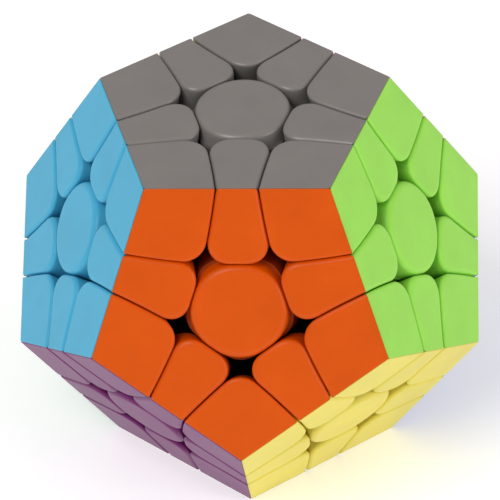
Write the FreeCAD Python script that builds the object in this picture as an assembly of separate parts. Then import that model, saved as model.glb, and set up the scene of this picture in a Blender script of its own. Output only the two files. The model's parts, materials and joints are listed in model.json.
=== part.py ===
"""A twelve-sided twisty puzzle: a dodecahedron whose twelve outer layers turn about the face axes.

A twelve-armed core sits in the middle. A screw, two washers and a spring hold each of the twelve
centres on its arm. Thirty edge pieces and twenty corner pieces have black feet that hook under
the centres and under each other. Each edge wears two coloured shells and each corner wears
three, one for each face that it shows on. Every surface along which two pieces pass is turned
about a face axis, so that any layer is free to turn.

The row frame has its origin at the middle of the white face that the puzzle stands on, with +Z
up through the grey face. The model is made about the middle of the core, then raised.
"""

import FreeCAD, Part
import math
import os

from FreeCAD import Matrix, Vector

# ---- Driving dimensions, in millimetres and degrees ---------------------------------------

EDGE_LENGTH = 32.5  # edge of the sharp-edged dodecahedron that the puzzle fills
EDGE_PIECE_WIDTH = 7.1  # width of an edge piece along the dodecahedron's edge, gaps included
LAYER_SLOPE = 17.0  # rise of a layer's underside, away from its axis
PIECE_GAP = 0.36  # clearance between two pieces that pass each other

NECK_RISE = 5.1  # from the point where a corner piece would vanish up to the top of its foot
FOOT_THICKNESS = 4.0  # radial thickness of the hooked feet
FOOT_ANGLE = 49.0  # half-angle, about a face axis, of the feet that turn with that face
PLATE_RISE = 1.7  # from the top of the feet up to the seat of the coloured shells
PLUG_HEIGHT = 3.0  # how far the black plug stands up inside the shells
SHELL_WALL = 1.5  # wall of a coloured shell
SHELL_SEAM = 0.06  # between two shells of one piece
PLUG_FIT = 0.06  # clearance between the plug and the shells' walls
NECK_INSET = 0.8  # how far an edge piece's neck stays inside its foot and its plate

CORNER_TIP_RADIUS = 3.1  # upright rounding at the inner end of a corner piece
EDGE_TIP_RADIUS = 3.3  # the same on an edge piece
CENTRE_TIP_RADIUS = 4.8  # and on a centre
CORNER_TIP_SHARE = 0.365  # largest such rounding, as a share of the narrowest wall beside it
EDGE_TIP_SHARE = 0.32
CENTRE_TIP_SHARE = 0.4
RIM_RADIUS = 0.45  # rounding of the shells' outer rims and of the dodecahedron's edges
CAP_RIM_RADIUS = 0.75  # rounding of a centre cap's rim

CAP_HEIGHT = 3.2  # a centre cap's height, from its seat on the base to the face
CAP_ROOF = 1.6  # thickness of the cap's top
CAP_RING_RADIUS = 5.6  # outside of the ring that holds the cap in its base
CAP_RING_WALL = 1.1
CAP_RING_DEPTH = 2.0  # how far the ring reaches into the base
CAP_FIT = 0.06  # clearance round the ring, and below it

SCREW_RADIUS = 1.25
SCREW_HEAD_RADIUS = 2.8
SCREW_HEAD_HEIGHT = 1.8
SCREW_LENGTH = 20.0  # under the head
SCREW_HEAD_DROP = 0.7  # from the cap's seat down to the top of the screw head
SCREW_FIT = 0.06  # clearance round the thread in the core's arm
CROSS_SLOT_WIDTH = 0.8
CROSS_SLOT_LENGTH = 3.4
CROSS_SLOT_DEPTH = 1.1
BORE_CLEARANCE = 0.35  # round the screw, where a centre turns on it

SPRING_LENGTH = 7.6  # as fitted, between the washers
SPRING_RADIUS = 2.55  # of the coil's centre line
SPRING_WIRE_RADIUS = 0.3
SPRING_TURNS = 5.5
SPRING_CLEARANCE = 0.55  # from the coil, and from the screw head, out to the pocket's wall

WASHER_THICKNESS = 0.5
WASHER_MARGIN = 0.05  # of a washer beyond the coil that stands on it
WASHER_CLEARANCE = 0.15  # round the screw
SEAT_PLAY = 0.1  # between the lower washer and the shoulder that turns below it

SHOULDER_THICKNESS = 2.0  # the stem's floor, which the spring presses on
STEM_CLEARANCE = 0.9  # between a centre's stem and the ring of feet round it
ARM_PLAY = 0.15  # between a stem and the end of the core's arm
ARM_RADIUS = 3.9
CORE_BALL_RADIUS = 11.0
CORE_WALL = 2.2  # of the hollow ball

# ---- Where the twelve faces are -----------------------------------------------------------

RING_STEP = 72.0  # between neighbours round one face
RING_ELEVATION = math.degrees(math.atan(0.5))  # of the ten faces round the sides
UPPER_RING = ("orange", "lime", "pink", "cream", "sky")
LOWER_RING = ("yellow", "navy", "red", "green", "purple")
TURNING_FACES = ("grey", "yellow", "green")  # no two of them share a piece
FIXED = "core"


def direction(azimuth, elevation):
    """A unit vector. Azimuth 0 faces -Y, and it grows towards +X."""
    a, e = math.radians(azimuth), math.radians(elevation)
    return Vector(math.sin(a) * math.cos(e), -math.cos(a) * math.cos(e), math.sin(e))


NORMALS = {"grey": Vector(0, 0, 1), "white": Vector(0, 0, -1)}
for step in range(5):
    NORMALS[UPPER_RING[step]] = direction(RING_STEP * step, RING_ELEVATION)
    NORMALS[LOWER_RING[step]] = direction(RING_STEP * (step + 0.5), -RING_ELEVATION)

FACE_ANGLE = 90.0 - RING_ELEVATION  # between the axes of two faces that share an edge
EDGE_ANGLE = FACE_ANGLE / 2  # from a face axis to the middle of its edge
FAR_FACE_ANGLE = 90.0 - EDGE_ANGLE  # from the middle of an edge to the faces at its two ends


def are_neighbours(face, other):
    return face != other and NORMALS[face].dot(NORMALS[other]) > 0.1


# ---- Sizes that follow from the driving dimensions ----------------------------------------

HALF_GAP = PIECE_GAP / 2
EDGE_MIDDLE = EDGE_LENGTH / 2 * (1 + math.sqrt(5)) / 2 * (1 + math.sqrt(5)) / 2
INRADIUS = EDGE_MIDDLE * math.cos(math.radians(EDGE_ANGLE))
CIRCUMRADIUS = math.hypot(EDGE_MIDDLE, EDGE_LENGTH / 2)
CORNER_ANGLE = math.degrees(math.acos(INRADIUS / CIRCUMRADIUS))  # face axis to dodecahedron corner
BEYOND = 3 * CIRCUMRADIUS  # size of the tool bodies that cut right through

SLOPE_RISE = math.tan(math.radians(LAYER_SLOPE))


def layer_start():
    """Height on a face axis of the cone under its layer, before clearance.

    The cone crosses the dodecahedron's edges half an edge piece's width from their middles.
    """
    to_far_face = math.radians(FAR_FACE_ANGLE)
    along, off = EDGE_PIECE_WIDTH / 2, EDGE_MIDDLE
    height = off * math.cos(to_far_face) + along * math.sin(to_far_face)
    reach = math.sqrt(off**2 + along**2 - height**2)
    return height - SLOPE_RISE * reach


LAYER_START = layer_start()


def layer_angle(radius):
    """Angle from a face axis at which the cone under its layer meets a sphere."""
    slope = math.radians(LAYER_SLOPE)
    return math.degrees(math.acos(LAYER_START * math.cos(slope) / radius) - slope)


VANISHING_RADIUS = LAYER_START / (
    math.cos(math.radians(CORNER_ANGLE)) - SLOPE_RISE * math.sin(math.radians(CORNER_ANGLE))
)
FOOT_TOP = VANISHING_RADIUS + NECK_RISE
FOOT_BOTTOM = FOOT_TOP - FOOT_THICKNESS
SHELL_SEAT = FOOT_TOP + PLATE_RISE

STEM_RADIUS = FOOT_BOTTOM * math.sin(math.radians(FACE_ANGLE - FOOT_ANGLE)) - STEM_CLEARANCE
CAP_SEAT = INRADIUS - CAP_HEIGHT
HEAD_TOP = CAP_SEAT - SCREW_HEAD_DROP
HEAD_SEAT = HEAD_TOP - SCREW_HEAD_HEIGHT
SPRING_TOP = HEAD_SEAT - WASHER_THICKNESS
SPRING_BOTTOM = SPRING_TOP - SPRING_LENGTH
SHOULDER_TOP = SPRING_BOTTOM - WASHER_THICKNESS - SEAT_PLAY
STEM_BOTTOM = SHOULDER_TOP - SHOULDER_THICKNESS
ARM_TOP = STEM_BOTTOM - ARM_PLAY
WASHER_RADIUS = SPRING_RADIUS + SPRING_WIRE_RADIUS + WASHER_MARGIN
POCKET_RADIUS = max(SPRING_RADIUS + SPRING_WIRE_RADIUS, SCREW_HEAD_RADIUS) + SPRING_CLEARANCE

# ---- Tool bodies --------------------------------------------------------------------------

NEARLY_ZERO = 1e-4  # lengths below this are taken as nothing
CENTRE = Vector(0, 0, 0)
AXIS = Vector(0, 0, 1)


def axes_of(face, neighbour):
    """Matrix whose columns are right, ahead and up on a face, with a neighbour ahead."""
    up = NORMALS[face]
    ahead = NORMALS[neighbour] - up * NORMALS[neighbour].dot(up)
    ahead.normalize()
    right = ahead.cross(up)
    return Matrix(
        right.x, ahead.x, up.x, 0,
        right.y, ahead.y, up.y, 0,
        right.z, ahead.z, up.z, 0,
        0, 0, 0, 1,
    )


def turn_onto(face, neighbour):
    """Rotation that carries the grey face and its orange neighbour onto another such pair."""
    return axes_of(face, neighbour) * axes_of("grey", "orange").inverse()


def tilted(shape, towards):
    """A copy of a shape made about +Z, turned to stand about another axis."""
    turned = shape.copy()
    turned.Placement = FreeCAD.Placement(CENTRE, FreeCAD.Rotation(AXIS, towards))
    return turned


def beyond_plane(normal, distance):
    """A block that fills everything past a plane at that distance along its normal."""
    block = Part.makeBox(2 * BEYOND, 2 * BEYOND, BEYOND, Vector(-BEYOND, -BEYOND, distance))
    return tilted(block, normal)


def dodecahedron(inradius):
    solid = Part.makeSphere(BEYOND)
    for normal in NORMALS.values():
        solid = solid.cut(beyond_plane(normal, inradius))
    return solid


def layer(inset, towards):
    """Everything above the cone under a face's layer. A negative inset makes it larger."""
    low = LAYER_START + inset / math.cos(math.radians(LAYER_SLOPE))
    profile = Part.makePolygon([
        Vector(0, 0, low),
        Vector(BEYOND, 0, low + SLOPE_RISE * BEYOND),
        Vector(0, 0, low + SLOPE_RISE * BEYOND),
        Vector(0, 0, low),
    ])
    return tilted(Part.Face(profile).revolve(CENTRE, AXIS, 360), towards)


def foot_cone(inset, towards):
    """Everything that turns with a face at the level of the feet."""
    half_angle = math.radians(FOOT_ANGLE)
    start = inset / math.sin(half_angle)
    height = BEYOND - start
    cone = Part.makeCone(0, height * math.tan(half_angle), height, AXIS * start)
    return tilted(cone, towards)


def common_of(first, *others):
    for other in others:
        first = first.common(other)
    return first


def without(first, *others):
    for other in others:
        first = first.cut(other)
    return first


def single(shape):
    """The one solid of a boolean result, with its leftover seams joined."""
    solids = shape.removeSplitter().Solids
    assert len(solids) == 1, f"expected one solid and found {len(solids)}"
    return solids[0]


def cylinder(radius, low, high):
    return Part.makeCylinder(radius, high - low, AXIS * low)


def tube(outer, inner, low, high):
    return cylinder(outer, low, high).cut(cylinder(inner, low, high))


# ---- Rounding -----------------------------------------------------------------------------


def upright_edges(solid):
    """Edges where two cones under layers meet, which run from a face down into the puzzle."""
    found = []
    for edge in solid.Edges:
        faces = [f.Surface for f in solid.ancestorsOfType(edge, Part.Face)]
        if len(faces) == 2 and all(isinstance(surface, Part.Cone) for surface in faces):
            if faces[0].Axis.cross(faces[1].Axis).Length > NEARLY_ZERO:
                found.append(edge)
    return found


def narrowest_wall(edges):
    """Shortest distance between two of the edges that don't touch."""
    gaps = [a.distToShape(b)[0] for i, a in enumerate(edges) for b in edges[:i]]
    return min(gap for gap in gaps if gap > NEARLY_ZERO)


def outer_edges(solid, normals):
    """Edges that lie in one of the dodecahedron's faces."""
    found = []
    for edge in solid.Edges:
        middle = edge.valueAt((edge.FirstParameter + edge.LastParameter) / 2)
        ends = [v.Point for v in edge.Vertexes] + [middle]
        if any(all(abs(p.dot(n) - INRADIUS) < NEARLY_ZERO for p in ends) for n in normals):
            found.append(edge)
    return found


def rounded(solid, normals, tip_radius, tip_share, rim_radius):
    """Rounds the upright edges, as far as the walls beside them allow, and the outer rims."""
    tips = upright_edges(solid)
    solid = solid.makeFillet(min(tip_radius, tip_share * narrowest_wall(tips)), tips)
    solid = solid.makeFillet(rim_radius, outer_edges(solid, normals))
    assert solid.isValid(), "rounding gave a broken solid"
    return solid


# ---- The model pieces, each made once about the middle of the core ------------------------

FACE_A, FACE_B = NORMALS["grey"], NORMALS["orange"]
FACE_C, FACE_D = NORMALS["lime"], NORMALS["sky"]  # at the two ends of the edge between A and B
RING_AROUND_A = [NORMALS[face] for face in UPPER_RING]
NECK_OVERLAP = 0.5  # how far a neck reaches into the foot that it is joined to


def unit(vector):
    vector = Vector(vector)
    vector.normalize()
    return vector


def foot_zone():
    return Part.makeSphere(FOOT_TOP - HALF_GAP).cut(Part.makeSphere(FOOT_BOTTOM))


def corner_piece():
    """(three coloured shells, black foot) of the corner between faces A, B and C."""
    faces = (FACE_A, FACE_B, FACE_C)
    axis = unit(FACE_A + FACE_B + FACE_C)
    own_zone = common_of(*[foot_cone(HALF_GAP, f) for f in faces])
    body = common_of(dodecahedron(INRADIUS), *[layer(HALF_GAP, f) for f in faces])
    body = single(body.cut(Part.makeSphere(FOOT_TOP - HALF_GAP - NECK_OVERLAP)))
    body = rounded(body, faces, CORNER_TIP_RADIUS, CORNER_TIP_SHARE, RIM_RADIUS)
    body = single(body.cut(Part.makeSphere(FOOT_TOP + HALF_GAP).cut(own_zone)))
    above_seat = beyond_plane(axis, SHELL_SEAT)

    cavity = common_of(
        dodecahedron(INRADIUS - SHELL_WALL), *[layer(HALF_GAP + SHELL_WALL, f) for f in faces]
    )
    outside = body.common(above_seat).cut(cavity)
    shells = [
        single(
            without(
                outside,
                *[beyond_plane(unit(g - f), -SHELL_SEAM / 2) for g in faces if g != f],
            )
        )
        for f in faces
    ]

    plug = common_of(
        dodecahedron(INRADIUS - SHELL_WALL - PLUG_FIT),
        *[layer(HALF_GAP + SHELL_WALL + PLUG_FIT, f) for f in faces],
    )
    plug = plug.common(beyond_plane(axis, SHELL_SEAT - NECK_OVERLAP))
    plug = plug.cut(beyond_plane(axis, SHELL_SEAT + PLUG_HEIGHT))
    foot = single(body.cut(above_seat).fuse(foot_zone().common(own_zone)).fuse(plug))
    return shells, foot


def edge_piece():
    """(two coloured shells, black foot) of the edge piece between faces A and B."""
    faces, ends = (FACE_A, FACE_B), (FACE_C, FACE_D)
    axis = unit(FACE_A + FACE_B)
    across = unit(FACE_B - FACE_A)
    along = axis.cross(across)
    body = common_of(dodecahedron(INRADIUS), *[layer(HALF_GAP, f) for f in faces])
    body = without(body, *[layer(-HALF_GAP, f) for f in ends])
    body = single(body.cut(Part.makeSphere(FOOT_TOP + HALF_GAP)))
    body = rounded(body, faces, EDGE_TIP_RADIUS, EDGE_TIP_SHARE, RIM_RADIUS)
    above_seat = beyond_plane(axis, SHELL_SEAT)

    def inside(clearance):
        core = common_of(
            dodecahedron(INRADIUS - SHELL_WALL - clearance),
            *[layer(HALF_GAP + SHELL_WALL + clearance, f) for f in faces],
        )
        return without(core, *[layer(-HALF_GAP - SHELL_WALL - clearance, f) for f in ends])

    outside = body.common(above_seat).cut(inside(0))
    shells = [
        single(outside.cut(beyond_plane(unit(g - f), -SHELL_SEAM / 2)))
        for f, g in ((FACE_A, FACE_B), (FACE_B, FACE_A))
    ]

    plug = inside(PLUG_FIT).common(beyond_plane(axis, SHELL_SEAT - NECK_OVERLAP))
    plug = plug.cut(beyond_plane(axis, SHELL_SEAT + PLUG_HEIGHT))
    hook = common_of(foot_zone(), *[foot_cone(HALF_GAP, f) for f in faces])
    hook = without(hook, *[foot_cone(-HALF_GAP, f) for f in ends])

    narrow, wide = sorted((layer_angle(FOOT_TOP), FOOT_ANGLE))
    half_across = FOOT_TOP * math.sin(math.radians(narrow - EDGE_ANGLE)) - NECK_INSET
    half_along = FOOT_TOP * math.sin(math.radians(FAR_FACE_ANGLE - wide)) - NECK_INSET
    neck_low = FOOT_TOP * math.cos(math.radians(EDGE_ANGLE))
    neck = Part.makeBox(
        2 * half_along,
        2 * half_across,
        SHELL_SEAT - neck_low,
        Vector(-half_along, -half_across, neck_low),
    )
    to_edge = Matrix(
        along.x, across.x, axis.x, 0,
        along.y, across.y, axis.y, 0,
        along.z, across.z, axis.z, 0,
        0, 0, 0, 1,
    )
    neck = neck.transformGeometry(to_edge).cut(Part.makeSphere(FOOT_TOP - HALF_GAP - NECK_OVERLAP))
    foot = single(body.cut(above_seat).fuse(neck).fuse(hook).fuse(plug))
    return shells, foot


def centre_piece():
    """(cap, base) of the centre of face A."""
    body = dodecahedron(INRADIUS).common(layer(HALF_GAP, FACE_A))
    body = without(body, *[layer(-HALF_GAP, f) for f in RING_AROUND_A])
    body = single(body.cut(Part.makeSphere(FOOT_TOP + HALF_GAP)))
    body = rounded(body, (FACE_A,), CENTRE_TIP_RADIUS, CENTRE_TIP_SHARE, CAP_RIM_RADIUS)

    ring_inside = CAP_RING_RADIUS - CAP_RING_WALL
    cap = body.common(beyond_plane(AXIS, CAP_SEAT))
    cap = cap.cut(cylinder(ring_inside, CAP_SEAT, INRADIUS - CAP_ROOF))
    cap = cap.fuse(tube(CAP_RING_RADIUS, ring_inside, CAP_SEAT - CAP_RING_DEPTH, INRADIUS - CAP_ROOF))

    base = body.cut(beyond_plane(AXIS, CAP_SEAT))
    base = base.fuse(cylinder(STEM_RADIUS, STEM_BOTTOM, CAP_SEAT))
    base = base.cut(cylinder(CAP_RING_RADIUS + CAP_FIT, CAP_SEAT - CAP_RING_DEPTH - CAP_FIT, INRADIUS))
    base = base.cut(cylinder(POCKET_RADIUS, SHOULDER_TOP, INRADIUS))
    base = base.cut(cylinder(SCREW_RADIUS + BORE_CLEARANCE, 0, INRADIUS))
    return single(cap), single(base)


def core():
    """The hollow ball and its twelve arms, each with a hole for a screw."""
    ball = Part.makeSphere(CORE_BALL_RADIUS)
    for normal in NORMALS.values():
        ball = ball.fuse(tilted(cylinder(ARM_RADIUS, 0, ARM_TOP), normal))
    ball = ball.cut(Part.makeSphere(CORE_BALL_RADIUS - CORE_WALL))
    for normal in NORMALS.values():
        ball = ball.cut(tilted(cylinder(SCREW_RADIUS + SCREW_FIT, 0, BEYOND), normal))
    return single(ball)


def screw():
    """A pan-head screw, its thread taken as a plain rod at the crests."""
    shape = cylinder(SCREW_HEAD_RADIUS, HEAD_SEAT, HEAD_TOP)
    rim = [e for e in shape.Edges if abs(e.BoundBox.ZMin - HEAD_TOP) < NEARLY_ZERO and e.Closed]
    shape = shape.makeFillet(SCREW_HEAD_HEIGHT / 2, rim)
    for long_x, long_y in ((CROSS_SLOT_LENGTH, CROSS_SLOT_WIDTH), (CROSS_SLOT_WIDTH, CROSS_SLOT_LENGTH)):
        slot = Part.makeBox(
            long_x, long_y, CROSS_SLOT_DEPTH, Vector(-long_x / 2, -long_y / 2, HEAD_TOP - CROSS_SLOT_DEPTH)
        )
        shape = shape.cut(slot)
    rod = cylinder(SCREW_RADIUS, HEAD_SEAT - SCREW_LENGTH, HEAD_SEAT)
    tip = [e for e in rod.Edges if abs(e.BoundBox.ZMax - HEAD_SEAT + SCREW_LENGTH) < NEARLY_ZERO and e.Closed]
    return single(shape.fuse(rod.makeChamfer(SCREW_RADIUS / 2, tip)))


def spring():
    """A compression spring with plain ends, its wire resting on the washers."""
    rise = SPRING_LENGTH - 2 * SPRING_WIRE_RADIUS
    helix = Part.makeHelix(rise / SPRING_TURNS, rise, SPRING_RADIUS)
    section = Part.Wire(Part.makeCircle(SPRING_WIRE_RADIUS, Vector(SPRING_RADIUS, 0, 0), Vector(0, 1, 0)))
    coil = Part.Wire(helix).makePipeShell([section], True, True)
    coil.translate(AXIS * (SPRING_BOTTOM + SPRING_WIRE_RADIUS))
    return single(coil)


def washer(low):
    return tube(WASHER_RADIUS, SCREW_RADIUS + WASHER_CLEARANCE, low, low + WASHER_THICKNESS)


# ---- Placing the pieces and sorting them into nodes ---------------------------------------


def body_of(*faces):
    """Which body a piece turns with: one of the three free layers, or else the core."""
    turning = [f for f in faces if f in TURNING_FACES]
    return turning[0] if turning else FIXED


def placed(solid, matrix):
    """A copy of a model piece, turned into its place and raised onto the white face."""
    put = solid.copy()
    put.Placement = FreeCAD.Placement(matrix).multiply(put.Placement)
    put.translate(AXIS * INRADIUS)
    return put


def node_name(colour, kind, body):
    return f"{colour}_{kind}" if body == colour else f"{colour}_{kind}_on_{body}"


def assemble():
    """Every node's name, with the list of its solids."""
    nodes = {}

    def add(name, solid):
        nodes.setdefault(name, []).append(solid)

    corner_shells, corner_foot = corner_piece()
    edge_shells, edge_foot = edge_piece()
    cap, base = centre_piece()
    hardware = {
        "screws": [screw()],
        "springs": [spring()],
        "washers": [washer(SPRING_TOP), washer(SPRING_BOTTOM - WASHER_THICKNESS)],
    }
    names = list(NORMALS)
    add("core_spider", placed(core(), Matrix()))
    for face in names:
        ring = [n for n in names if are_neighbours(face, n)]
        upright = turn_onto(face, ring[0])
        add(f"{face}_centre_cap", placed(cap, upright))
        add(f"{face}_centre_base", placed(base, upright))
        for kind, solids in hardware.items():
            for solid in solids:
                add(kind, placed(solid, upright))
        for second in ring:
            if names.index(face) < names.index(second):
                matrix = turn_onto(face, second)
                body = body_of(face, second)
                add(f"feet_on_{body}", placed(edge_foot, matrix))
                for colour, shell in zip((face, second), edge_shells):
                    add(node_name(colour, "shells", body), placed(shell, matrix))
            for third in ring:
                turn = NORMALS[second].cross(NORMALS[third]).dot(NORMALS[face])
                first = names.index(face) < min(names.index(second), names.index(third))
                if first and are_neighbours(second, third) and turn > 0:
                    matrix = turn_onto(face, second)
                    body = body_of(face, second, third)
                    add(f"feet_on_{body}", placed(corner_foot, matrix))
                    for colour, shell in zip((face, second, third), corner_shells):
                        add(node_name(colour, "shells", body), placed(shell, matrix))
    return nodes


os.makedirs("parts", exist_ok=True)
for name, solids in assemble().items():
    shape = solids[0] if len(solids) == 1 else Part.makeCompound(solids)
    shape.exportStep(f"parts/{name}.step")
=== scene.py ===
import json
import math

import bmesh
import bpy
import numpy as np
from mathutils import Matrix, Vector

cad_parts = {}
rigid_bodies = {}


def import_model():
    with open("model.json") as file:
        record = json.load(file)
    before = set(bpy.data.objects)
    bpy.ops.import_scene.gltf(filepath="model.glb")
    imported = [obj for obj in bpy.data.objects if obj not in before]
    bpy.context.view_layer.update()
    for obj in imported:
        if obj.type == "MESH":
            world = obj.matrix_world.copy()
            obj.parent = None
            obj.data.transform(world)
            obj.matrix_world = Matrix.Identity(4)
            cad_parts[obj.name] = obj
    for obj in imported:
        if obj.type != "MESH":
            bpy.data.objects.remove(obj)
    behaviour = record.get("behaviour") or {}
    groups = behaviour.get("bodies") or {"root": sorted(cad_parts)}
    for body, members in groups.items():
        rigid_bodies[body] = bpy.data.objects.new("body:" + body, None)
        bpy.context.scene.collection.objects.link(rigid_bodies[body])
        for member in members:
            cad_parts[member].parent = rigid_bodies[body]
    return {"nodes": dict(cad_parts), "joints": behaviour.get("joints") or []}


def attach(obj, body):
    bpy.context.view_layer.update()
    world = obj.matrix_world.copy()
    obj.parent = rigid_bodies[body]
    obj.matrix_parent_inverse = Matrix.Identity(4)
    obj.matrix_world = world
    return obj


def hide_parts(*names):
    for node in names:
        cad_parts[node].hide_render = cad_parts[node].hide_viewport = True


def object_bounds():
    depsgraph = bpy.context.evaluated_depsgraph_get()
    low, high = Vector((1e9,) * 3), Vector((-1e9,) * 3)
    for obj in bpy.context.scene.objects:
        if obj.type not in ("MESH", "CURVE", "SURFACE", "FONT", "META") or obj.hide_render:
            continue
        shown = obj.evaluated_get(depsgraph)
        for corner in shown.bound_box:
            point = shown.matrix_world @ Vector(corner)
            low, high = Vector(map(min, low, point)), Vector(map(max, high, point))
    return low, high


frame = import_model()
cad_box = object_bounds()

# ---- Coloured shells of the corner and edge pieces ----------------------------------------
# Each corner piece wears three shells and each edge piece two, one for every face it shows on.
# They are injection moulded in ABS that is coloured all through, with rounded rims, and they
# snap over a black foot. Their sides follow the cones along which the layers turn.

MM = 0.001
FACE_INRADIUS = (cad_box[1][2] - cad_box[0][2]) / 2 / MM  # centre of the puzzle to a face
PUZZLE_CENTRE = Vector((0, 0, FACE_INRADIUS * MM))
FACE_ANGLE = math.pi / 2 - math.atan(0.5)  # between the axes of neighbouring faces
HALF_ANGLE = FACE_ANGLE / 2
RING_STEP = math.radians(72)
NEIGHBOURS = 5  # faces round a face

EDGE_PIECE_WIDTH = 7.1
LAYER_SLOPE = math.radians(17)
HALF_GAP = 0.1  # between two pieces that pass each other, halved
SHELL_SEAM = 0.06
SHELL_WALL = 1.5
SHELL_SEAT = 31.25  # height of the shells' lower rims along a piece's own axis
RIM = 0.7  # rounding of a shell's long sides
INNER_RIM = 0.8  # rounding of the ends that face the centre cap
CROWN = 0.5  # rounding between two faces of the dodecahedron
FLAT_EDGE = 0.12  # flat band inside the rims that keeps the faces' shading flat
LIP = 0.02  # step between the rings that close a shell along its seam
CORNER_TIP = 3.5  # upright rounding of a corner shell's inner tip
EDGE_TIP = 4.2
SEAM_CORNER = 0.25

FILLET_STEPS = 6
WALL_STEPS = 4
POINTS_ON_SIDE = 22
RING_PASSES = 6  # of settling a ring's heights and its outline on each other
HALVINGS = 30  # of the range in which a point of the outline is looked for
SEARCH_REACH = 1.6  # end of that range, against the way to the outline without roundings
MEETING_STEPS = 12
SETTLING_STEPS = 14
LONGEST_MOVE = 0.5  # of a point in one settling step
LEAST_STEEPNESS = 0.2
NUDGE = 1e-4  # over which a distance's slope is taken
SHARP_FROM = math.radians(40)


def neighbour_axis(k):
    """Axis of the k-th neighbour of a face that looks along +Z, counted clockwise from +Y."""
    return np.array([
        math.sin(RING_STEP * k) * math.sin(FACE_ANGLE),
        math.cos(RING_STEP * k) * math.sin(FACE_ANGLE),
        math.cos(FACE_ANGLE),
    ])


def cone_start():
    """Height at which the cone under a layer crosses that layer's own axis."""
    middle = FACE_INRADIUS / math.cos(HALF_ANGLE)
    along = EDGE_PIECE_WIDTH / 2
    height = middle * math.sin(HALF_ANGLE) + along * math.cos(HALF_ANGLE)
    reach = math.sqrt(middle**2 + along**2 - height**2)
    return height - math.tan(LAYER_SLOPE) * reach


CONE_START = cone_start()
FACE_UP = np.array([0.0, 0.0, 1.0])


def within_layer(points, k):
    """Distance into the k-th neighbour's layer, negative outside it."""
    height = points @ neighbour_axis(k)
    reach = np.sqrt(np.maximum((points**2).sum(1) - height**2, 0))
    return (height - CONE_START - math.tan(LAYER_SLOPE) * reach) * math.cos(LAYER_SLOPE)


def past_seam(points, k):
    """Distance beyond the plane that halves the angle between this face and a neighbour."""
    across = neighbour_axis(k) - FACE_UP
    return points @ (across / np.linalg.norm(across))


def cut_outside(k, rim):
    return {"distance": lambda p: within_layer(p, k) + HALF_GAP, "rim": rim, "seam": False}


def cut_inside(k, rim):
    return {"distance": lambda p: HALF_GAP - within_layer(p, k), "rim": rim, "seam": False}


def seam_with(k):
    return {"distance": lambda p: past_seam(p, k) + SHELL_SEAM / 2, "rim": CROWN, "seam": True}


def blend_sides(sides, roundings, insets, points):
    """Signed distance to the rounded outline, and how much each side has to do with it."""
    reach = np.stack([s["distance"](points) + i for s, i in zip(sides, insets)])
    best = np.full(len(points), -np.inf)
    share = np.zeros_like(reach)
    for i, radius in enumerate(roundings):
        j = (i + 1) % len(sides)
        u, v = np.maximum(reach[i] + radius, 0), np.maximum(reach[j] + radius, 0)
        value = np.minimum(np.maximum(reach[i], reach[j]), -radius) + np.hypot(u, v)
        wins = value > best
        best = np.where(wins, value, best)
        share[:, wins] = 0
        share[i, wins], share[j, wins] = u[wins] ** 2, v[wins] ** 2
    total = share.sum(0)
    return best, share / np.where(total > 0, total, 1)


def meeting_point(first, second, insets, height, start):
    """Where two sides would meet at a height, if nothing were rounded."""
    x = np.array(start[:2], float)
    for _ in range(MEETING_STEPS):
        trial = np.array([[*x, height], [x[0] + NUDGE, x[1], height], [x[0], x[1] + NUDGE, height]])
        f = np.stack([first["distance"](trial) + insets[0], second["distance"](trial) + insets[1]])
        slope = (f[:, 1:] - f[:, :1]) / NUDGE
        x = x - np.linalg.solve(slope, f[:, 0])
    return x


def fillet(side, fraction):
    """(inset, depth) at a fraction of the way round a side's rim."""
    if side["seam"]:
        turn = fraction * HALF_ANGLE
        run = CROWN * (math.tan(HALF_ANGLE) - math.sin(turn))
        depth = CROWN * (1 - math.cos(turn))
        return math.cos(HALF_ANGLE) * run - math.sin(HALF_ANGLE) * depth, depth
    turn = fraction * math.pi / 2
    return side["rim"] * (1 - math.sin(turn)), side["rim"] * (1 - math.cos(turn))


def ring(sides, roundings, insets, heights, middle, corners):
    """One closed ring of points, and how much each side has to do with each of them.

    heights gives a function of the points for each side.
    """
    spacing = (1 - np.cos(np.linspace(0, math.pi, POINTS_ON_SIDE + 1)[:-1])) / 2
    count = POINTS_ON_SIDE * len(sides)
    z = np.full(count, float(FACE_INRADIUS))
    for _ in range(RING_PASSES):
        found = []
        for j in range(len(sides)):
            k = (j + 1) % len(sides)
            pair = (insets[j], insets[k])
            level = z[k * POINTS_ON_SIDE]
            found.append(meeting_point(sides[j], sides[k], pair, level, corners[j]))
        rough = np.array([
            found[j - 1] + (found[j] - found[j - 1]) * f for j in range(len(sides)) for f in spacing
        ])
        origin = middle[None, :2] * (z / FACE_INRADIUS)[:, None]
        low, high = np.zeros(count), np.full(count, SEARCH_REACH)
        for _ in range(HALVINGS):
            t = (low + high) / 2
            points = np.column_stack([origin + (rough - origin) * t[:, None], z])
            value, share = blend_sides(sides, roundings, insets, points)
            low, high = np.where(value < 0, t, low), np.where(value < 0, high, t)
        z = sum(share[i] * heights[i](points) for i in range(len(sides)))
    return points, share


def settle(points, sides, roundings, insets, axis):
    """Moves points square to an axis until they lie on the outline."""
    for _ in range(SETTLING_STEPS):
        value = blend_sides(sides, roundings, insets, points)[0]
        slope = np.stack(
            [
                (blend_sides(sides, roundings, insets, points + step)[0] - value) / NUDGE
                for step in np.eye(3) * NUDGE
            ],
            axis=1,
        )
        square = slope - np.outer(slope @ axis, axis)
        steepness = np.maximum((square * slope).sum(1), LEAST_STEEPNESS)
        move = np.clip(value / steepness, -LONGEST_MOVE, LONGEST_MOVE)
        points = points - square * move[:, None]
    return points


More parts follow.
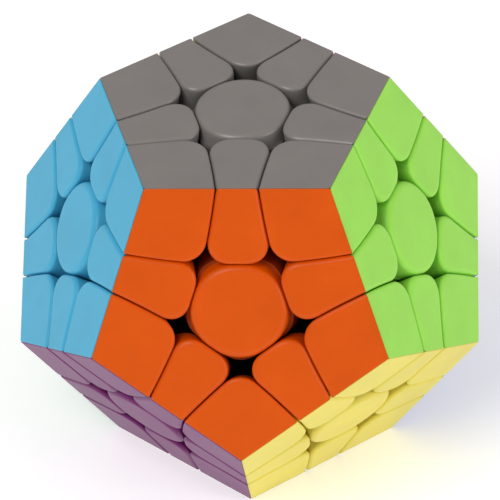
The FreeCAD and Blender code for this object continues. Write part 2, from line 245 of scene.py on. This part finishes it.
def closed_mesh(name, rings, hubs):
    """An object skinned over rings of points, with a fan to a hub at the first and the last."""
    mesh = bmesh.new()
    loops = [[mesh.verts.new(Vector(p) * MM) for p in r] for r in rings]
    for upper, lower in zip(loops, loops[1:]):
        for i in range(len(upper)):
            j = (i + 1) % len(upper)
            mesh.faces.new((upper[i], upper[j], lower[j], lower[i]))
    for loop, hub in zip((loops[0], loops[-1]), hubs):
        middle = mesh.verts.new(Vector(hub) * MM)
        for i in range(len(loop)):
            mesh.faces.new((loop[i], loop[(i + 1) % len(loop)], middle))
    bmesh.ops.recalc_face_normals(mesh, faces=mesh.faces[:])
    data = bpy.data.meshes.new(name)
    mesh.to_mesh(data)
    mesh.free()
    data.shade_smooth()
    data.set_sharp_from_angle(angle=SHARP_FROM)
    return bpy.data.objects.new(name, data)


def moulding(name, sides, roundings, middle, corners, axis, seat, roof):
    """A closed thin-walled moulding: flat face, rounded rims, sides, lower rim and cavity.

    Its sides run down to a seat at that height along the piece's own axis, except along a
    seam, where they stop under the roof and leave the cavity open to the next moulding.
    """
    middle = np.array([*middle, FACE_INRADIUS], float)
    axis = axis / np.linalg.norm(axis)
    under_roof = FACE_INRADIUS - roof

    def level(depth):
        return lambda p: np.full(len(p), FACE_INRADIUS - depth)

    insets = [fillet(s, 0)[0] + FLAT_EDGE for s in sides]
    rings = [ring(sides, roundings, insets, [level(0)] * len(sides), middle, corners)[0]]
    for step in range(FILLET_STEPS + 1):
        rims = [fillet(s, step / FILLET_STEPS) for s in sides]
        depths = [level(depth) for _, depth in rims]
        insets = [inset for inset, _ in rims]
        points, share = ring(sides, roundings, insets, depths, middle, corners)
        rings.append(points)

    at_seam = share[[s["seam"] for s in sides]].sum(0)
    first = points @ axis
    last = at_seam * first * under_roof / points[:, 2] + (1 - at_seam) * seat
    for step in range(1, WALL_STEPS + 1):
        height = first + (last - first) * step / WALL_STEPS
        points = points * (height / (points @ axis))[:, None]
        points = settle(points, sides, roundings, [0] * len(sides), axis)
        rings.append(points)
    inner = [max(r - SHELL_WALL, SEAM_CORNER) for r in roundings]
    for fraction in (0.5, 1):
        insets = [LIP * fraction if s["seam"] else SHELL_WALL * fraction for s in sides]
        points = settle(points, sides, inner, insets, axis)
    rings.append(points)
    insets = [LIP * 2 if s["seam"] else SHELL_WALL for s in sides]
    points = settle(points * (under_roof / points[:, 2])[:, None], sides, inner, insets, FACE_UP)
    rings.append(points)

    return closed_mesh(name, rings, [middle, middle * (under_roof / FACE_INRADIUS)])


def on_face(distance, turn):
    """A point on the face, at a distance from its middle, in turns of 72 degrees from +Y."""
    return np.array([math.sin(RING_STEP * turn), math.cos(RING_STEP * turn)]) * distance


FACE_REACH = FACE_INRADIUS * math.tan(HALF_ANGLE)  # middle of a face to its edge
FACE_CORNER = FACE_REACH / math.cos(RING_STEP / 2)

# A point inside each shell's face, and roughly where its sides meet, from which the true
# corners are worked out.
CORNER_MIDDLE = on_face(19.5, 0.5)
CORNER_STARTS = [
    on_face(22.7, 0.14),
    on_face(10.5, 0.5),
    on_face(22.7, 0.86),
    on_face(FACE_CORNER, 0.5),
]
EDGE_MIDDLE = on_face(15.5, 0)
EDGE_STARTS = [(3.5, 22.3), (5.5, 8.8), (-5.5, 8.8), (-3.5, 22.3)]

corner_shell = moulding(
    "corner_shell",
    [seam_with(0), cut_inside(1, RIM), cut_inside(0, RIM), seam_with(1)],
    [SEAM_CORNER, CORNER_TIP, SEAM_CORNER, SEAM_CORNER],
    CORNER_MIDDLE,
    CORNER_STARTS,
    FACE_UP + neighbour_axis(0) + neighbour_axis(1),
    SHELL_SEAT,
    SHELL_WALL,
)
edge_shell = moulding(
    "edge_shell",
    [seam_with(0), cut_outside(1, RIM), cut_inside(0, INNER_RIM), cut_outside(-1, RIM)],
    [SEAM_CORNER, EDGE_TIP, EDGE_TIP, SEAM_CORNER],
    EDGE_MIDDLE,
    EDGE_STARTS,
    FACE_UP + neighbour_axis(0),
    SHELL_SEAT,
    SHELL_WALL,
)

UPPER_RING = ("orange", "lime", "pink", "cream", "sky")
LOWER_RING = ("yellow", "navy", "red", "green", "purple")
FACE_AXES = {"grey": Vector((0, 0, 1)), "white": Vector((0, 0, -1))}
for k in range(NEIGHBOURS):
    for ring_of_faces, half_step, lift in ((UPPER_RING, 0, 1), (LOWER_RING, 0.5, -1)):
        around = RING_STEP * (k + half_step)
        flat = math.sin(FACE_ANGLE)
        FACE_AXES[ring_of_faces[k]] = Vector(
            (math.sin(around) * flat, -math.cos(around) * flat, lift * math.cos(FACE_ANGLE))
        )
TURNING = [joint["child"] for joint in frame["joints"]]
FIXED = frame["joints"][0]["parent"]


def side_by_side(face, other):
    return face != other and FACE_AXES[face].dot(FACE_AXES[other]) > 0


def turn_onto(face, neighbour):
    """Turn that brings +Z onto a face's axis and +Y towards one of its neighbours."""
    up = FACE_AXES[face]
    ahead = (FACE_AXES[neighbour] - up * FACE_AXES[neighbour].dot(up)).normalized()
    return Matrix((ahead.cross(up), ahead, up)).transposed().to_quaternion()


def rides_with(*faces):
    turning = [f for f in faces if f in TURNING]
    return turning[0] if turning else FIXED


# One entry for each shell: (is it a corner's, how it is turned), sorted by colour and body.
shell_places = {}
for face in FACE_AXES:
    ring_of_faces = [f for f in FACE_AXES if side_by_side(face, f)]
    for second in ring_of_faces:
        place = (False, turn_onto(face, second))
        shell_places.setdefault((face, rides_with(face, second)), []).append(place)
        for third in ring_of_faces:
            clockwise = FACE_AXES[second].cross(FACE_AXES[third]).dot(FACE_AXES[face]) < 0
            if side_by_side(second, third) and clockwise:
                place = (True, turn_onto(face, second))
                body = rides_with(face, second, third)
                shell_places.setdefault((face, body), []).append(place)


def add_node(tree, kind, inputs=None, **settings):
    """Adds a node. A socket among the inputs is linked, and anything else is a value."""
    node = tree.nodes.new(kind)
    for name, value in settings.items():
        setattr(node, name, value)
    for name, value in (inputs or {}).items():
        if isinstance(value, bpy.types.NodeSocket):
            tree.links.new(value, node.inputs[name])
        else:
            node.inputs[name].default_value = value
    return node


def new_tree(name, sockets):
    tree = bpy.data.node_groups.new(name, "GeometryNodeTree")
    tree.interface.new_socket("Geometry", in_out="INPUT", socket_type="NodeSocketGeometry")
    for label, kind in sockets:
        tree.interface.new_socket(label, in_out="INPUT", socket_type=kind)
    tree.interface.new_socket("Geometry", in_out="OUTPUT", socket_type="NodeSocketGeometry")
    return tree, add_node(tree, "NodeGroupInput").outputs


def turned_copies(tree, points, shape, **choice):
    """One instance of a shape at each point, turned as that point says."""
    turn = add_node(tree, "GeometryNodeInputNamedAttribute", {"Name": "turn"}, data_type="QUATERNION")
    inputs = {"Points": points, "Instance": shape, "Rotation": turn.outputs["Attribute"], **choice}
    return add_node(tree, "GeometryNodeInstanceOnPoints", inputs).outputs["Instances"]


def finish_tree(tree, geometry, material):
    """Ends a tree with Realize Instances and Set Material."""
    realized = add_node(tree, "GeometryNodeRealizeInstances", {"Geometry": geometry})
    coated = add_node(
        tree, "GeometryNodeSetMaterial", {"Geometry": realized.outputs[0], "Material": material}
    )
    add_node(tree, "NodeGroupOutput", {"Geometry": coated.outputs[0]})


def grown_piece(name, tree, values, places):
    """Runs a tree over one point for each place, and keeps the result as a plain mesh."""
    points = bpy.data.meshes.new(name + "_places")
    points.from_pydata([PUZZLE_CENTRE] * len(places), [], [])
    points.attributes.new("turn", "QUATERNION", "POINT")
    points.attributes.new("is_corner", "BOOLEAN", "POINT")
    for i, (is_corner, turn) in enumerate(places):
        points.attributes["turn"].data[i].value = turn
        points.attributes["is_corner"].data[i].value = is_corner
    host = bpy.data.objects.new(name + "_host", points)
    modifier = host.modifiers.new("pieces", "NODES")
    modifier.node_group = tree
    sockets = {s.name: s.identifier for s in tree.interface.items_tree if s.in_out == "INPUT"}
    for label, value in values.items():
        modifier[sockets[label]] = value
    bpy.context.scene.collection.objects.link(host)
    graph = bpy.context.evaluated_depsgraph_get()
    mesh = bpy.data.meshes.new_from_object(host.evaluated_get(graph), depsgraph=graph)
    host.modifiers.clear()
    bpy.data.objects.remove(host)
    mesh.name = name
    piece = bpy.data.objects.new(name, mesh)
    bpy.context.scene.collection.objects.link(piece)
    return piece


def linear(code):
    """An sRGB hex colour as linear RGBA."""
    values = [int(code[i:i + 2], 16) / 255 for i in (0, 2, 4)]
    return (*[v / 12.92 if v <= 0.04045 else ((v + 0.055) / 1.055) ** 2.4 for v in values], 1)


# Solid-coloured ABS, moulded in a satin-blasted tool: a soft broad sheen with a faint grain.
ABS_COLOURS = {
    "grey": "857f7b",
    "orange": "d75400",
    "sky": "48acd0",
    "lime": "9cde54",
    "yellow": "e0d054",
    "purple": "6f1a63",
    "white": "f0f0ec",
    "pink": "e88bb0",
    "cream": "e9dcae",
    "navy": "22408f",
    "red": "b3202a",
    "green": "1d6b3a",
}
GRAIN = 0.35  # millimetres; the real grain is finer, and this is as fine as can be seen
SCATTER_DEPTH = 1.8  # millimetres that light travels inside the plastic
FLOW = 9.0  # millimetres across the slow cloudiness left by the plastic's flow
CLOUD_EDGES = (0.3, 0.7)  # of the flow noise, between which the colour changes
CLOUD_SHADES = (0.95, 1.04)  # of the colour, at those two edges
SHEEN_SPREAD = 0.05  # of the roughness, each way
GRAIN_STRENGTH = 0.25


def new_material(name):
    material = bpy.data.materials.new(name)
    material.use_nodes = True
    tree = material.node_tree
    return material, tree, next(n for n in tree.nodes if n.type == "BSDF_PRINCIPLED")


def coat(node, material):
    node.data.materials.clear()
    node.data.materials.append(material)


def moulded_plastic(name, colour, roughness, grain_depth, scatter, shine):
    """Injection-moulded plastic with slightly uneven colour and sheen, and a fine grain."""
    material, tree, shader = new_material(name)
    place = add_node(tree, "ShaderNodeTexCoord").outputs["Object"]
    flow = add_node(
        tree, "ShaderNodeTexNoise", {"Vector": place, "Scale": 1 / (FLOW * MM), "Detail": 3.0}
    )
    grain = add_node(
        tree, "ShaderNodeTexNoise", {"Vector": place, "Scale": 1 / (GRAIN * MM), "Detail": 2.0}
    )
    rgb = linear(colour)
    tint = add_node(tree, "ShaderNodeValToRGB", {"Fac": flow.outputs["Fac"]})
    for stop, edge, shade in zip(tint.color_ramp.elements, CLOUD_EDGES, CLOUD_SHADES):
        stop.position = edge
        stop.color = (*[min(c * shade, 1) for c in rgb[:3]], 1)
    sheen = add_node(
        tree,
        "ShaderNodeMapRange",
        {
            "Value": flow.outputs["Fac"],
            "To Min": roughness - SHEEN_SPREAD,
            "To Max": roughness + SHEEN_SPREAD,
        },
    )
    bump = add_node(
        tree,
        "ShaderNodeBump",
        {
            "Height": grain.outputs["Fac"],
            "Strength": GRAIN_STRENGTH,
            "Distance": grain_depth * MM,
        },
    )
    tree.links.new(tint.outputs["Color"], shader.inputs["Base Color"])
    tree.links.new(sheen.outputs["Result"], shader.inputs["Roughness"])
    tree.links.new(bump.outputs["Normal"], shader.inputs["Normal"])
    shader.inputs["Specular IOR Level"].default_value = shine
    shader.inputs["Subsurface Weight"].default_value = scatter
    shader.inputs["Subsurface Scale"].default_value = SCATTER_DEPTH * MM
    shader.inputs["Subsurface Radius"].default_value = [0.3 + 0.7 * c for c in rgb[:3]]
    return material


# Roughness, depth of the grain in millimetres, scatter and shine, which would be 0.5 on a
# polished surface. The grey holds the most pigment, so light hardly enters it, and it comes
# from the tool a little glossier.
SATIN = (0.36, 0.02, 0.25, 0.2)
GREY_SATIN = (0.3, 0.02, 0.08, 0.45)
abs_plastic = {
    face: moulded_plastic(f"{face}_satin_abs", code, *(GREY_SATIN if face == "grey" else SATIN))
    for face, code in ABS_COLOURS.items()
}

shell_tree, given = new_tree(
    "shells_round_the_puzzle",
    [
        ("Corner shell", "NodeSocketObject"),
        ("Edge shell", "NodeSocketObject"),
        ("Plastic", "NodeSocketMaterial"),
    ],
)
is_corner = add_node(
    shell_tree, "GeometryNodeInputNamedAttribute", {"Name": "is_corner"}, data_type="BOOLEAN"
)
is_edge = add_node(
    shell_tree, "FunctionNodeBooleanMath", {0: is_corner.outputs["Attribute"]}, operation="NOT"
)
both = add_node(shell_tree, "GeometryNodeJoinGeometry")
chosen = {"Corner shell": is_corner.outputs["Attribute"], "Edge shell": is_edge.outputs[0]}
for label, selection in chosen.items():
    shape = add_node(shell_tree, "GeometryNodeObjectInfo", {"Object": given[label]}).outputs["Geometry"]
    copies = turned_copies(shell_tree, given["Geometry"], shape, Selection=selection)
    shell_tree.links.new(copies, both.inputs["Geometry"])
finish_tree(shell_tree, both.outputs["Geometry"], given["Plastic"])

for (colour, body), places in shell_places.items():
    node_name = f"{colour}_shells" if body == colour else f"{colour}_shells_on_{body}"
    values = {
        "Corner shell": corner_shell,
        "Edge shell": edge_shell,
        "Plastic": abs_plastic[colour],
    }
    piece = grown_piece(f"{colour}_mouldings_on_{body}", shell_tree, values, places)
    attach(piece, body)
    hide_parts(node_name)

# ---- Centre caps --------------------------------------------------------------------------
# A rounded five-sided cap of the same coloured ABS closes each centre. It is moulded in one
# piece, and it presses into the centre's base over the screw that sets the tension.

CAP_HEIGHT = 3.2
CAP_ROOF = 1.6
CAP_RIM = 0.9
CAP_TIP = 5.3
CAP_CORNER_START = 10.2  # rough distance of a cap's corners from the middle of the face

cap = moulding(
    "cap",
    [cut_outside(k, CAP_RIM) for k in range(NEIGHBOURS)],
    [CAP_TIP] * NEIGHBOURS,
    (0, 0),
    [on_face(CAP_CORNER_START, k + 0.5) for k in range(NEIGHBOURS)],
    FACE_UP,
    FACE_INRADIUS - CAP_HEIGHT,
    CAP_ROOF,
)

cap_tree, given = new_tree(
    "cap_on_its_face", [("Cap", "NodeSocketObject"), ("Plastic", "NodeSocketMaterial")]
)
shape = add_node(cap_tree, "GeometryNodeObjectInfo", {"Object": given["Cap"]}).outputs["Geometry"]
finish_tree(cap_tree, turned_copies(cap_tree, given["Geometry"], shape), given["Plastic"])

centre_turns = {}
for face in FACE_AXES:
    nearby = next(f for f in FACE_AXES if side_by_side(face, f))
    centre_turns[face] = (False, turn_onto(face, nearby))
    values = {"Cap": cap, "Plastic": abs_plastic[face]}
    piece = grown_piece(f"{face}_cap", cap_tree, values, [centre_turns[face]])
    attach(piece, rides_with(face))
    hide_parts(f"{face}_centre_cap")

# ---- Feet, centre bases and core ----------------------------------------------------------
# The working parts are moulded in nylon, left as they come from the tool so that they slide on
# each other. Feet and core are black and show only as the dark depth of the star-shaped gaps.
# Each centre's base is dyed to match its cap, because its rim can be seen round the cap, and the dye is
# darkened to paint in the shade that falls round the cap.

NYLON = (0.55, 0.01, 0, 0.2)
PAINTED_SHADE_SHARE = 0.72  # share of the cap's colour kept in the base; the darkening is painted shade round the cap


def darker(code, share):
    return "".join(f"{round(int(code[i:i + 2], 16) * share):02x}" for i in (0, 2, 4))


black_nylon = moulded_plastic("black_moulded_nylon", "0b0b0c", *NYLON)
for name, node in frame["nodes"].items():
    if name.endswith("_centre_base"):
        face = name.removesuffix("_centre_base")
        # The base's colour is darkened to paint the shade that falls round the cap.
        dyed_and_shaded = moulded_plastic(f"{face}_dyed_nylon_with_painted_shade", darker(ABS_COLOURS[face], PAINTED_SHADE_SHARE), *NYLON)
        coat(node, dyed_and_shaded)
    elif name.startswith("feet_on_") or name == "core_spider":
        coat(node, black_nylon)

# ---- Screws, washers and springs ----------------------------------------------------------
# Zinc-plated steel screws and stamped washers hold the centres on the core, and a coil of
# drawn spring wire under each screw head sets how tightly the layers turn.

MARKED_SPREAD = 0.1  # of the roughness, each way


def steel(name, colour, roughness, mark_spacing):
    """Bare or plated steel with fine marks that break up its reflections."""
    material, tree, shader = new_material(name)
    place = add_node(tree, "ShaderNodeTexCoord").outputs["Object"]
    marks = add_node(
        tree, "ShaderNodeTexNoise", {"Vector": place, "Scale": 1 / (mark_spacing * MM), "Detail": 4.0}
    )
    dull = add_node(
        tree,
        "ShaderNodeMapRange",
        {
            "Value": marks.outputs["Fac"],
            "To Min": roughness - MARKED_SPREAD,
            "To Max": roughness + MARKED_SPREAD,
        },
    )
    tree.links.new(dull.outputs["Result"], shader.inputs["Roughness"])
    shader.inputs["Base Color"].default_value = linear(colour)
    shader.inputs["Metallic"].default_value = 1.0
    return material


zinc_plated = steel("zinc_plated_steel", "c4c6c8", 0.35, 0.5)
stamped = steel("stamped_steel", "b4b5b7", 0.4, 0.3)
coat(frame["nodes"]["screws"], zinc_plated)
coat(frame["nodes"]["washers"], stamped)

SPRING_BOTTOM = 22.39
SPRING_LENGTH = 7.6
SPRING_RADIUS = 2.55
WIRE_RADIUS = 0.3
SPRING_TURNS = 5.5
POINTS_A_TURN = 28
WIRE_SIDES = 10

spring_tree, given = new_tree(
    "springs_on_their_screws",
    [
        ("Coil radius", "NodeSocketFloat"),
        ("Wire radius", "NodeSocketFloat"),
        ("Turns", "NodeSocketFloat"),
        ("Rise", "NodeSocketFloat"),
        ("Lift", "NodeSocketVector"),
        ("Wire", "NodeSocketMaterial"),
    ],
)
coil = add_node(
    spring_tree,
    "GeometryNodeCurveSpiral",
    {
        "Resolution": POINTS_A_TURN,
        "Rotations": given["Turns"],
        "Start Radius": given["Coil radius"],
        "End Radius": given["Coil radius"],
        "Height": given["Rise"],
    },
)
section = add_node(
    spring_tree,
    "GeometryNodeCurvePrimitiveCircle",
    {"Resolution": WIRE_SIDES, "Radius": given["Wire radius"]},
)
wire = add_node(
    spring_tree,
    "GeometryNodeCurveToMesh",
    {"Curve": coil.outputs["Curve"], "Profile Curve": section.outputs["Curve"], "Fill Caps": True},
)
lifted = add_node(
    spring_tree,
    "GeometryNodeTransform",
    {"Geometry": wire.outputs["Mesh"], "Translation": given["Lift"]},
)
copies = turned_copies(spring_tree, given["Geometry"], lifted.outputs["Geometry"])
finish_tree(spring_tree, copies, given["Wire"])

values = {
    "Coil radius": SPRING_RADIUS * MM,
    "Wire radius": WIRE_RADIUS * MM,
    "Turns": SPRING_TURNS,
    "Rise": (SPRING_LENGTH - 2 * WIRE_RADIUS) * MM,
    "Lift": (0, 0, (SPRING_BOTTOM + WIRE_RADIUS) * MM),
    "Wire": steel("drawn_spring_steel", "9fa1a4", 0.3, 0.2),
}
springs = grown_piece("coil_springs", spring_tree, values, list(centre_turns.values()))
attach(springs, FIXED)
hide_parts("springs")
for pattern in (corner_shell, edge_shell, cap):
    bpy.data.objects.remove(pattern)

# ---- Floor, light and camera --------------------------------------------------------------
# A white light table, which glows faintly, under two soft panels and an even sky.

FLOOR_REACH = 3.0  # metres each way
FLOOR_LEVEL = -0.05 * MM  # just under the white face, so that the two don't flicker
FLOOR_GLOW = 0.36
SKY_GLOW = 0.44

floor_mesh = bpy.data.meshes.new("floor")
floor_mesh.from_pydata(
    [
        (x * FLOOR_REACH, y * FLOOR_REACH, FLOOR_LEVEL)
        for x, y in ((-1, -1), (1, -1), (1, 1), (-1, 1))
    ],
    [],
    [(0, 1, 2, 3)],
)
floor = bpy.data.objects.new("floor", floor_mesh)
bpy.context.scene.collection.objects.link(floor)
table_top, _, table_shader = new_material("glowing_white_acrylic")
table_shader.inputs["Base Color"].default_value = linear("f4f4f4")
table_shader.inputs["Roughness"].default_value = 0.9
table_shader.inputs["Emission Color"].default_value = (1, 1, 1, 1)
table_shader.inputs["Emission Strength"].default_value = FLOOR_GLOW
floor_mesh.materials.append(table_top)


def soft_panel(name, place, size, watts):
    """A rectangular lamp that faces the puzzle."""
    lamp = bpy.data.lights.new(name, "AREA")
    lamp.shape = "RECTANGLE"
    lamp.size, lamp.size_y = size
    lamp.energy = watts
    panel = bpy.data.objects.new(name, lamp)
    panel.location = place
    towards = PUZZLE_CENTRE - Vector(place)
    panel.rotation_euler = towards.to_track_quat("-Z", "Y").to_euler()
    bpy.context.scene.collection.objects.link(panel)


soft_panel("upper_left_panel", place=(-0.35, -0.45, 0.85), size=(0.5, 0.4), watts=4.4)
soft_panel("right_panel", place=(0.75, -0.35, 0.3), size=(0.35, 0.5), watts=2.0)
world = bpy.data.worlds.new("even_sky")
world.use_nodes = True
sky_light = next(n for n in world.node_tree.nodes if n.type == "BACKGROUND")
sky_light.inputs["Color"].default_value = (1, 1, 1, 1)
sky_light.inputs["Strength"].default_value = SKY_GLOW
bpy.context.scene.world = world
bpy.context.scene.view_settings.view_transform = "Standard"

CAMERA_AROUND = math.radians(4.307)
CAMERA_ABOVE = math.radians(41.698)
CAMERA_ROLL = math.radians(-2.923)
CAMERA_DISTANCE = 580.7
CAMERA_RAISED = 1.4
LENS = 224.3
SENSOR_WIDTH = 36

back = Vector((
    math.sin(CAMERA_AROUND) * math.cos(CAMERA_ABOVE),
    -math.cos(CAMERA_AROUND) * math.cos(CAMERA_ABOVE),
    math.sin(CAMERA_ABOVE),
))
level_right = Vector((math.cos(CAMERA_AROUND), math.sin(CAMERA_AROUND), 0))
level_up = back.cross(level_right)
right = level_right * math.cos(CAMERA_ROLL) + level_up * math.sin(CAMERA_ROLL)
up = level_up * math.cos(CAMERA_ROLL) - level_right * math.sin(CAMERA_ROLL)
camera = bpy.data.objects.new("camera", bpy.data.cameras.new("camera"))
camera.data.lens = LENS
camera.data.sensor_width = SENSOR_WIDTH
stand = PUZZLE_CENTRE + (up * CAMERA_RAISED + back * CAMERA_DISTANCE) * MM
camera.matrix_world = Matrix.Translation(stand) @ Matrix((right, up, back)).transposed().to_4x4()
bpy.context.scene.collection.objects.link(camera)
bpy.context.scene.camera = camera
